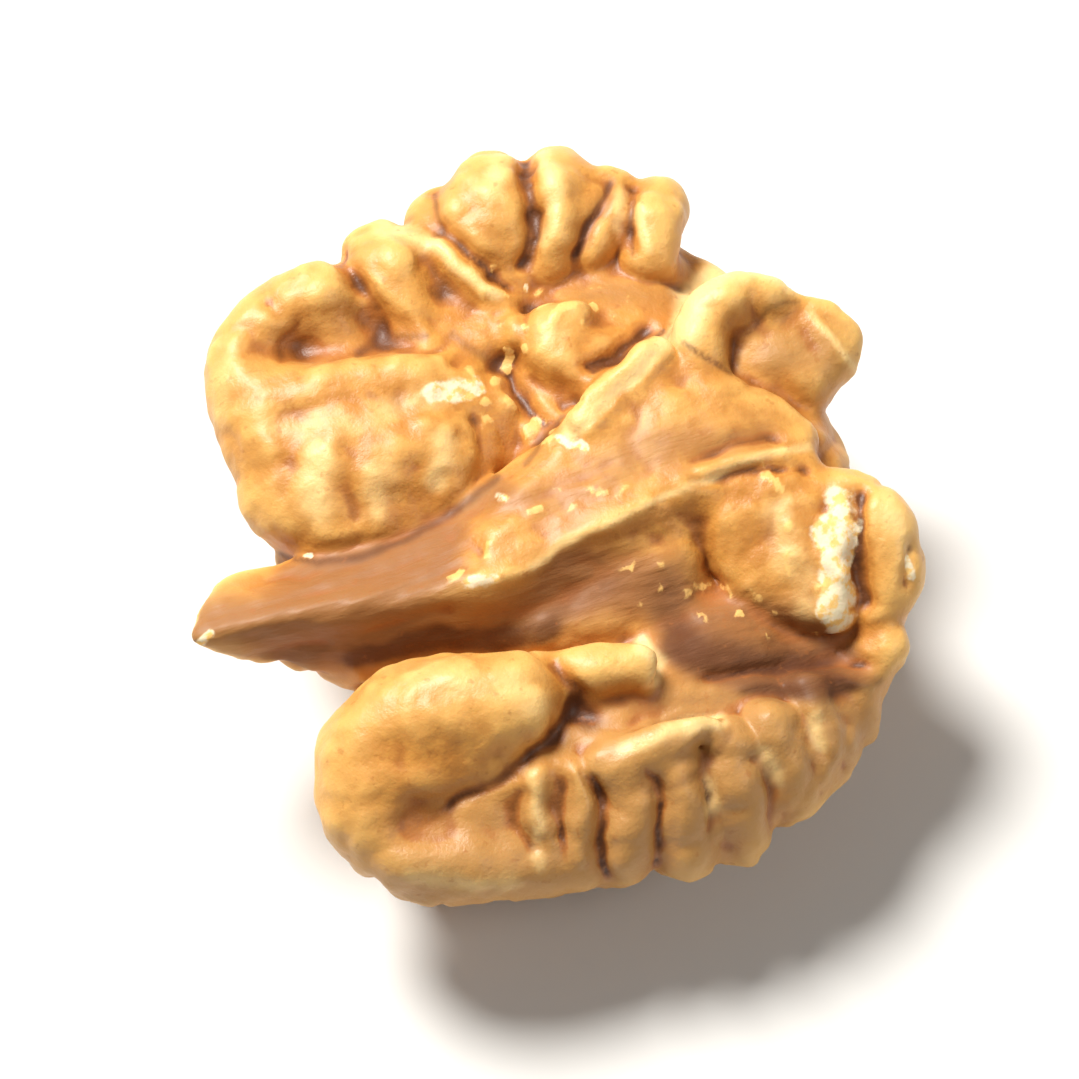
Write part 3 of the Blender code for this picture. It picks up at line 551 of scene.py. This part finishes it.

# Where dark brown shade is painted: the deep hollow in the middle, under the upper lobe's lip, the shaded
# side of the tongue, and the bottoms of the creases.
DARK_SHADE_AREAS = (
    (1.3, 0.9, ((2.6, -7.2), (4.6, -8.4), (7.4, -10.3))),
    (1.2, 0.5, ((2.9, -4.4), (2.7, -6.4))),
    (0.26, 0.8, ((-11.0, 2.4), (-9.5, 1.4), (-7.8, 1.0), (-5.5, 1.0), (-4.0, 1.3), (-1.7, 2.4))),
    (0.9, 0.6, ((-14.9, -1.7), (-8.7, -3.2), (-2.5, -4.1), (0.7, -3.7))),
    (0.40, 0.7, ((-9.9, -3.2), (-7.7, -3.2), (-5.0, -3.8), (-2.0, -4.6))),
    (0.7, 1.0, ((-2.3, -8.3), (-2.1, -8.9))),
    (0.18, 0.5, ((-2.2, -7.5), (-3.6, -9.1), (-5.8, -9.6), (-8.2, -10.4))),
    (0.20, 0.8, ((4.7, 16.8), (3.8, 14.0), (2.7, 11.8))),
    (0.22, 0.9, ((7.3, 14.1), (5.7, 12.5), (4.7, 11.3))),
    (0.16, 0.6, ((8.0, 13.0), (6.8, 10.3))),
    (0.16, 0.6, ((0.3, 16.0), (0.0, 14.1), (1.3, 11.9))),
    (0.9, 0.4, ((4.5, 9.3), (7.6, 8.1))),
    (0.16, 0.9, ((3.6, 5.8), (6.8, 6.7))),
    (0.22, 0.7, ((1.7, 4.0), (-0.4, 2.6))),
    (0.25, 0.8, ((7.5, 5.7), (8.6, 3.7))),
    (0.20, 0.6, ((9.2, 4.1), (9.9, 5.5), (11.1, 6.1), (12.4, 5.9))),
    (0.24, 0.8, ((10.9, -3.0), (10.2, -6.2), (8.5, -8.7))),
    (0.35, 0.6, ((4.1, -9.7), (6.5, -11.0), (9.2, -11.2))),
    (0.25, 0.7, ((-5.0, 9.8), (-3.9, 10.5), (-2.3, 9.6))),
    (0.30, 0.6, ((-1.1, 9.2), (-0.3, 7.6), (0.9, 5.6))),
    (0.30, 0.6, ((2.9, -11.2), (1.3, -12.5), (-1.0, -12.4))),
)

# Where it is bright and pale: crests that catch the light, and rubbed edges.
LIT = (
    (0.40, 0.9, ((1.5, 3.2), (6.4, 6.0))),
    (0.75, 1.0, ((7.5, 6.1), (8.3, 7.4), (9.7, 8.2), (11.3, 8.0), (12.5, 6.9))),
    (1.2, 0.5, ((8.3, -2.9), (7.8, -7.2))),
    (0.9, 0.5, ((-9.1, 7.4), (-5.6, 6.7), (-2.4, 6.6))),
    (0.9, 0.7, ((-8.0, 5.4), (-9.0, 3.9))),
    (0.8, 0.6, ((-5.9, 4.4), (-6.5, 2.7))),
    (0.7, 0.7, ((-3.3, 4.5), (-4.1, 2.9))),
    (0.28, 0.7, ((-1.8, -1.6), (1.3, -0.9), (5.7, -0.4), (10.4, -0.2))),
    (0.40, 0.7, ((5.4, 16.1), (4.9, 14.1), (3.7, 12.2))),
    (0.28, 0.8, ((8.1, 12.4), (7.6, 10.3))),
    (0.30, 0.9, ((-0.4, 13.7), (0.8, 10.6))),
    (0.6, 0.6, ((2.6, 7.9), (2.6, 7.6))),
    (0.7, 0.7, ((-2.0, 15.1), (-0.9, 14.1))),
    (0.7, 0.6, ((3.5, 16.5), (2.4, 14.8))),
    (0.5, 0.6, ((7.4, 13.2), (6.8, 11.6))),
    (0.35, 1.0, ((1.0, -6.5), (1.5, -7.4), (0.8, -8.2))),
    (0.35, 0.6, ((-4.8, -10.0), (-5.1, -12.3), (-6.2, -14.0))),
    (0.6, 0.6, ((-10.4, -12.7), (-7.5, -14.3))),
    (0.9, 0.5, ((-7.5, -4.8), (-4.6, -5.8), (-3.4, -7.4))),
    (0.8, 0.5, ((-9.8, 11.6), (-11.2, 8.9))),
    (0.40, 0.9, ((-1.0, -10.4), (2.7, -10.6))),
    (0.7, 0.6, ((12.3, -3.9), (12.4, -6.3))),
    (0.25, 0.7, ((12.7, 5.0), (13.7, 2.5), (12.7, 0.5))),
    (0.5, 0.7, ((1.6, -12.9), (1.3, -14.2))),
    (0.5, 0.7, ((4.0, -12.3), (3.8, -13.8))),
    (0.4, 0.7, ((6.2, -11.8), (6.1, -13.0))),
)

# Where small crumbs stick to it.
CRUMBS = (
    (1.0, 1.0, ((0.9, 11.4), (2.4, 9.8), (1.4, 7.8))),
    (1.3, 0.8, ((8.4, -1.4), (8.8, -4.7), (8.4, -7.7))),
    (1.3, 0.7, ((1.7, -3.7), (5.7, -6.7))),
    (0.9, 0.9, ((-0.5, 5.0), (0.6, 3.6))),
    (1.0, 0.8, ((-1.2, 6.3), (1.9, 8.9), (5.2, 8.6))),
    (0.8, 0.7, ((-5.0, -1.2), (-1.0, 0.4), (3.0, 0.6))),
)

# The underside of the lower lobe's roll, which is smooth.
SMOOTH_ROLL = ((-11.6, -9.0), (-9.6, -13.0), (-5.0, -15.4))

# How high the relief of the skin stands, in millimetres.
SWELLING = 0.12
SMALL_SWELLING = 0.05
PILLOWS = 0.14
SMALL_PILLOWS = 0.06
FIBRES = 0.09
ROUGHNESS = 0.03
TORN_FLESH = 0.16
CRUMB_HEIGHT = 0.11

EVENING_ROUNDS = 7  # rounds of smoothing that take the steps out of the fused skin
CREASE_ROUNDS = 10  # the same measure over a short reach, for creases, and over a long one, for hollows
HOLLOW_ROUNDS = 140


def rows_of(items, field, width, kind):
    """One row of numbers for each vertex, normal or edge of a mesh."""
    flat = np.empty(len(items) * width, kind)
    items.foreach_get(field, flat)
    return flat.reshape(-1, width)


def positions(skin):
    return rows_of(skin.vertices, "co", 3, np.float32).astype(float)


def normals(skin):
    return rows_of(skin.vertex_normals, "vector", 3, np.float32).astype(float)


def move_points(skin, points):
    skin.vertices.foreach_set("co", points.astype(np.float32).ravel())
    skin.update()


def spread(values, ends, rounds, weight=1.0):
    """Values on the vertices, each drawn towards its neighbours' average some rounds over."""
    values = values.reshape(len(values), -1)
    count = np.bincount(ends.ravel(), minlength=len(values))[:, None]
    for _ in range(rounds):
        total = np.stack(
            [
                np.bincount(ends[:, 0], column[ends[:, 1]], len(values))
                + np.bincount(ends[:, 1], column[ends[:, 0]], len(values))
                for column in values.T
            ],
            axis=1,
        )
        values = values + (total / count - values) * weight
    return values


def sunk(points, outward, ends, rounds):
    """How deep each point lies in a crease, in millimetres. It is negative on a crest."""
    return ((spread(points, ends, rounds) - points) * outward).sum(axis=1)


def ripple(points, size, offset=0.0):
    """Smooth noise from about -1 to 1, with `size` millimetres from bump to bump."""
    where = points / size + offset
    return np.array([noise.noise(Vector(p)) for p in where])


def drift(points, size, amount):
    """Points pushed about by smooth noise, so that nothing drawn on them is regular."""
    pushes = [ripple(points, size, offset) for offset in (3.1, 17.4, 41.9)]
    return points + amount * np.column_stack(pushes)


def on_level(points):
    """Where points of the inner face lie on the level that strokes are drawn on."""
    slope = np.array(INNER_FACE.xy) / INNER_FACE.z
    return points[:, :2] - (points[:, 2:] - STROKE_LEVEL) * slope


def nearness(places, path, width):
    """1 on a path across the level, falling smoothly to 0 beyond its half width."""
    gap = np.full(len(places), 1e9)
    for start, end in zip(np.array(path), np.array(path)[1:]):
        along = end - start
        reach = np.clip((places - start) @ along / (along @ along), 0, 1)
        gap = np.minimum(gap, ((places - start - reach[:, None] * along) ** 2).sum(axis=1))
    return np.exp(-gap / width**2)


def painted(places, areas):
    """How strongly each place is covered by the painted areas, from 0 to 1."""
    cover = sum(nearness(places, path, width) * strength for width, strength, path in areas)
    return np.clip(cover, 0, 1)


def share(values, low, high):
    """0 at low or less, 1 at high or more, with a smooth change between."""
    part = np.clip((values - low) / (high - low), 0, 1)
    return part * part * (3 - 2 * part)


def fit_to_cad(points):
    """Scales the points to the CAD node's box, standing on the flat of their lowest folds."""
    low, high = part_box(NODE)
    low, high = np.array(low), np.array(high)
    points[:, 2] = np.maximum(points[:, 2], points[:, 2].min() + TABLE_TRIM)
    span = points.max(axis=0) - points.min(axis=0)
    return (points - points.min(axis=0)) / span * (high - low) + low


def store(skin, name, values):
    layer = skin.attributes.new(name, "FLOAT", "POINT")
    layer.data.foreach_set("value", values.astype(np.float32))


def pillows(points, size, offset):
    """Rounded lumps with sharp creases between them, from about 0 in the creases to 1 on the lumps."""
    return np.sqrt(ripple(points, size, offset) ** 2 + 0.0004) * 2.4


def convolutions(points):
    """The winding grooves of the outer side, broad ones and fine ones between them."""
    broad, fine = ripple(points, 3.4, 5.0), ripple(points, 1.9, 11.0)
    return 0.25 - 0.95 * np.exp(-((broad / 0.13) ** 2)) - 0.35 * np.exp(-((fine / 0.12) ** 2))


def add_relief(skin):
    ends = rows_of(skin.edges, "vertices", 2, np.int32)
    points = drift(spread(positions(skin), ends, EVENING_ROUNDS), 2.6, 0.16)
    move_points(skin, points)
    outward = spread(normals(skin), ends, 3)
    facing = share(outward @ np.array(INNER_FACE), -0.1, 0.3)
    places = np.column_stack([on_level(points), points[:, 2] * 0.3])
    places = drift(drift(places, 2.6, 0.4), 0.9, 0.14)[:, :2]
    membrane = painted(places, MEMBRANE) * facing
    chip = painted(places, CHIPS) * facing
    crumbs = painted(places, CRUMBS) * facing * share(ripple(points, 0.62, 51.0), 0.16, 0.36)
    warped = drift(points, 1.5, 0.3)
    lumps = pillows(warped, 2.3, 23.0) * PILLOWS + pillows(warped, 1.2, 31.0) * SMALL_PILLOWS
    fibres = ripple(points * (0.22, 1, 1), 0.55, 3.0) * FIBRES * membrane
    flesh = ripple(points * (1, 0.4, 1), 0.5, 57.0) * TORN_FLESH * chip
    height = ripple(points, 3.2) * SWELLING + ripple(points, 1.4, 7.0) * SMALL_SWELLING
    height += lumps * (1 - membrane)
    height += fibres + ripple(points, 0.6, 19.0) * ROUGHNESS
    height += flesh + crumbs * CRUMB_HEIGHT
    for amount, width, path in STROKES:
        height += amount * nearness(places, path, width) * facing
    under = (1 - share(outward[:, 2], -0.6, 0.1)) * (1 - share(points[:, 2], 4.5, 7.5))
    rolled = nearness(places, SMOOTH_ROLL, 2.0) * share(points[:, 2], 1.5, 3.5)
    height += convolutions(points) * under * (1 - rolled)
    points += outward * height[:, None]
    points = spread(points, ends, 1, 0.35)
    move_points(skin, points)
    outward = normals(skin)
    store(skin, "chip", chip)
    store(skin, "crumbs", crumbs)
    store(skin, "membrane", membrane)
    # Painted shade, olive-brown, over the lower lobe and some hollows.
    store(skin, "painted_olive_shade", painted(places, OLIVE_SHADE_AREAS))
    # Painted shade, dark brown: the deep hollow, under the lip, the tongue's shaded side and the crease
    # bottoms.
    store(skin, "painted_dark_shade", painted(places, DARK_SHADE_AREAS) * facing)
    store(skin, "lit", painted(places, LIT) * facing)
    # How deep each point lies in a crease and in a hollow. The finish paints shade by these, darker in
    # creases and hollows, and a painted highlight, paler on crests.
    store(skin, "crease", sunk(points, outward, ends, CREASE_ROUNDS))
    store(skin, "hollow", sunk(points, outward, ends, HOLLOW_ROUNDS))
    move_points(skin, fit_to_cad(points))


# ---------------------------------------------------------------- finish


class Wire:
    """A shader socket's number. Arithmetic on it adds Math nodes."""

    def __init__(self, tree, socket):
        self.tree = tree
        self.socket = socket

    def math(self, operation, *values):
        node = self.tree.nodes.new("ShaderNodeMath")
        node.operation = operation
        for socket, value in zip(node.inputs, values):
            plug(self.tree, socket, value)
        return Wire(self.tree, node.outputs[0])

    def __add__(self, other):
        return self.math("ADD", self, other)

    def __sub__(self, other):
        return self.math("SUBTRACT", self, other)

    def __mul__(self, other):
        return self.math("MULTIPLY", self, other)


def plug(tree, socket, value):
    """Links a wire to a socket, or sets the socket to a plain value."""
    if isinstance(value, Wire):
        tree.links.new(value.socket, socket)
    else:
        socket.default_value = value


class Finish:
    """A material, and the nodes that make it."""

    def __init__(self, name):
        self.material = bpy.data.materials.new(name)
        self.material.use_nodes = True
        self.tree = self.material.node_tree
        self.shader = self.tree.nodes["Principled BSDF"]

    def node(self, kind, settings, inputs, output=0):
        """Adds a node of a type, with its settings and its inputs, and gives one of its outputs."""
        node = self.tree.nodes.new("ShaderNode" + kind)
        for name, value in settings.items():
            setattr(node, name, value)
        for socket, value in inputs.items():
            plug(self.tree, node.inputs[socket], value)
        return Wire(self.tree, node.outputs[output])

    def noise(self, where, scale, detail, **more):
        return self.node("TexNoise", {}, {"Vector": where, "Scale": scale, "Detail": detail, **more})

    def ramp(self, factor, stops):
        """A smooth step from one number to another: stops are (position, value)."""
        (low, first), (high, last) = stops
        limits = {"From Min": low, "From Max": high, "To Min": first, "To Max": last}
        return self.node("MapRange", {"interpolation_type": "SMOOTHSTEP"}, {"Value": factor, **limits})

    def mixed(self, factor, below, above):
        """Two colours mixed by a factor."""
        return self.node("Mix", {"data_type": "RGBA"}, {0: factor, 6: below, 7: above}, output=2)

    def attribute(self, name):
        return self.node("Attribute", {"attribute_name": name}, {}, output=2)

    def set(self, **inputs):
        for name, value in inputs.items():
            plug(self.tree, self.shader.inputs[name.replace("_", " ")], value)


GOLD = (0.62, 0.268, 0.048, 1)
PALE = (0.88, 0.54, 0.165, 1)
ORANGE = (0.36, 0.110, 0.018, 1)
TAN = (0.28, 0.108, 0.030, 1)
# Olive-brown, used only for painted shade.
SHADE_OLIVE = (0.46, 0.23, 0.068, 1)
# Dark brown, used only for painted shade.
SHADE_BROWN = (0.10, 0.027, 0.005, 1)
STRAW = (0.93, 0.66, 0.28, 1)
CREAM = (0.86, 0.74, 0.50, 1)

# How fine the patterns of the finish are, in cells to the metre.
PATCH_SCALE = 220.0
MOTTLE_SCALE = 900.0
SPECK_SCALE = 2300.0
GRAIN_SCALE = 1500.0
FIBRE_SCALE = 3200.0


def skin_finish():
    f = Finish("kernel_skin")
    where = f.node("TexCoord", {}, {}, output=3)
    patches = f.noise(where, PATCH_SCALE, 4.0)
    mottle = f.noise(where, MOTTLE_SCALE, 5.0)
    specks = f.noise(where, SPECK_SCALE, 3.0)
    crease = f.attribute("crease") + (mottle - 0.5) * 0.06
    hollow = f.attribute("hollow") + (patches - 0.5) * 0.5
    chip = f.attribute("chip") + (mottle - 0.5) * 1.3 + (specks - 0.5) * 0.6
    membrane = f.attribute("membrane") + (patches - 0.5) * 0.6
    painted_dark_shade = f.attribute("painted_dark_shade") + (mottle - 0.5) * 0.5
    lit = f.attribute("lit") + (mottle - 0.5) * 0.7
    painted_olive_shade = f.attribute("painted_olive_shade") + (patches - 0.5) * 0.5
    crumbs = f.attribute("crumbs") + (specks - 0.5) * 1.2
    layers = (
        (patches, ((0.40, 0.0), (0.80, 0.4)), PALE),
        (mottle, ((0.42, 0.35), (0.60, 0.0)), ORANGE),
        # Painted highlight: paler where the skin stands out, over a long reach and a short one.
        (hollow * -1, ((0.1, 0.0), (0.8, 0.6)), PALE),
        (crease * -1, ((0.02, 0.0), (0.14, 0.45)), PALE),
        # Painted shade: olive-brown over the lower lobe and some hollows.
        (painted_olive_shade, ((0.0, 0.0), (1.0, 0.95)), SHADE_OLIVE),
        (membrane, ((0.2, 0.0), (0.9, 0.9)), TAN),
        # Painted shade: oranger in hollows and creases.
        (hollow, ((0.1, 0.0), (0.9, 0.5)), ORANGE),
        (crease, ((0.01, 0.0), (0.07, 0.75)), ORANGE),
        (lit, ((0.15, 0.0), (1.0, 0.85)), STRAW),
        # Painted shade: dark brown in the deepest creases and hollows.
        (crease, ((0.05, 0.0), (0.16, 0.9)), SHADE_BROWN),
        (hollow, ((0.8, 0.0), (1.8, 0.85)), SHADE_BROWN),
        # Painted shade: dark brown over the deep hollow, under the lip, on the tongue's shaded side and in
        # crease bottoms.
        (painted_dark_shade, ((0.15, 0.0), (1.1, 0.88)), SHADE_BROWN),
        (specks, ((0.26, 0.35), (0.38, 0.0)), ORANGE),
        (crumbs, ((0.35, 0.0), (0.75, 0.8)), PALE),
    )
    colour = GOLD
    for amount, stops, tint in layers:
        colour = f.mixed(f.ramp(amount, stops), colour, tint)
    chipped = f.ramp(chip, ((0.35, 0.0), (0.75, 0.95)))
    cream = f.mixed(f.ramp(specks, ((0.38, 1.0), (0.55, 0.0))), CREAM, PALE)
    colour = f.mixed(chipped, colour, cream)
    skin = f.ramp(membrane, ((0.1, 0.45), (0.9, 0.62))) + (mottle - 0.5) * 0.3 + painted_dark_shade * 0.15
    f.set(Base_Color=colour, Roughness=chipped * 0.3 + skin)
    f.set(Specular_IOR_Level=0.40, Coat_Weight=0.07, Coat_Roughness=0.28)
    f.set(Subsurface_Weight=0.12, Subsurface_Scale=0.0007)
    f.set(Subsurface_Radius=(1.0, 0.42, 0.16))
    combed = f.node("Mapping", {}, {"Vector": where, "Scale": (0.22, 1.0, 1.0)})
    fibres = f.noise(combed, FIBRE_SCALE, 4.0)
    grain = f.noise(where, GRAIN_SCALE, 6.0, Roughness=0.6)
    relief = grain + (fibres - grain) * f.ramp(membrane, ((0.2, 0.0), (0.7, 0.8)))
    f.set(Normal=f.node("Bump", {}, {"Height": relief, "Strength": 0.55, "Distance": 0.00016}))
    return f.material


def floor_finish():
    f = Finish("floor")
    f.set(Base_Color=(0.74, 0.73, 0.71, 1), Roughness=0.8)
    return f.material


# ---------------------------------------------------------------- pieces

FLOOR_REACH = 1.5  # from the floor's middle to its edges, in metres


def make_kernel():
    mesh = bmesh.new()
    for region in FOLDS:
        for spine in region:
            add_fold(mesh, spine)
    for region in SLABS:
        for corners in region:
            add_slab(mesh, corners)
    skin = fused_skin(mesh)
    mesh.clear()
    mesh.from_mesh(skin)
    keep_outer_skin(mesh)
    mesh.to_mesh(skin)
    mesh.free()
    skin.name = "kernel"
    add_relief(skin)
    for face in skin.polygons:
        face.use_smooth = True
    skin.materials.append(skin_finish())
    kernel = bpy.data.objects.new("kernel", skin)
    bpy.context.scene.collection.objects.link(kernel)
    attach(kernel, "root")
    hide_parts(NODE)


def make_floor():
    mesh = bmesh.new()
    bmesh.ops.create_grid(mesh, x_segments=1, y_segments=1, size=FLOOR_REACH)
    surface = bpy.data.meshes.new("floor")
    mesh.to_mesh(surface)
    mesh.free()
    surface.materials.append(floor_finish())
    floor = bpy.data.objects.new("floor", surface)
    bpy.context.scene.collection.objects.link(floor)


# ---------------------------------------------------------------- light and camera

CAMERA_AZIMUTH = -20
CAMERA_ELEVATION = 62
CAMERA_LENS = 120
FRAMED = 0.044  # what the frame takes in at the kernel, in metres
KEY_LIGHT = {"azimuth": 204, "elevation": 56, "distance": 0.5, "size": 0.20, "power": 4.7}
FILL_LIGHT = {"azimuth": 50, "elevation": 42, "distance": 0.6, "size": 0.30, "power": 0.9}
KEY_COLOUR = (1.0, 0.98, 0.94)
FILL_COLOUR = (1.0, 0.97, 0.92)
ROOM_COLOUR = (1.0, 0.98, 0.96, 1)
ROOM_LIGHT = 0.15


def direction(azimuth, elevation):
    """The unit vector from the kernel towards a point at that azimuth and elevation."""
    a, e = math.radians(azimuth), math.radians(elevation)
    return Vector((math.sin(a) * math.cos(e), -math.cos(a) * math.cos(e), math.sin(e)))


def aim(thing, towards, distance, centre):
    thing.location = centre + towards * distance
    thing.rotation_mode = "QUATERNION"
    thing.rotation_quaternion = (-towards).to_track_quat("-Z", "Y")


def make_camera(centre):
    camera = bpy.data.objects.new("camera", bpy.data.cameras.new("camera"))
    camera.data.lens = CAMERA_LENS
    camera.data.clip_start = 0.01
    bpy.context.scene.collection.objects.link(camera)
    distance = FRAMED * CAMERA_LENS / camera.data.sensor_width
    aim(camera, direction(CAMERA_AZIMUTH, CAMERA_ELEVATION), distance, centre)
    bpy.context.scene.camera = camera


def make_light(name, centre, colour, azimuth, elevation, distance, size, power):
    light = bpy.data.objects.new(name, bpy.data.lights.new(name, "AREA"))
    light.data.shape = "DISK"
    light.data.size = size
    light.data.energy = power
    light.data.color = colour
    bpy.context.scene.collection.objects.link(light)
    aim(light, direction(azimuth, elevation), distance, centre)


def light_room(centre):
    make_light("key", centre, KEY_COLOUR, **KEY_LIGHT)
    make_light("fill", centre, FILL_COLOUR, **FILL_LIGHT)
    world = bpy.data.worlds.new("room")
    world.use_nodes = True
    room = world.node_tree.nodes["Background"].inputs
    room["Color"].default_value = ROOM_COLOUR
    room["Strength"].default_value = ROOM_LIGHT
    bpy.context.scene.world = world
    bpy.context.scene.view_settings.view_transform = "Standard"


make_kernel()
make_floor()
centre = (cad_low + cad_high) / 2
make_camera(centre)
light_room(centre)
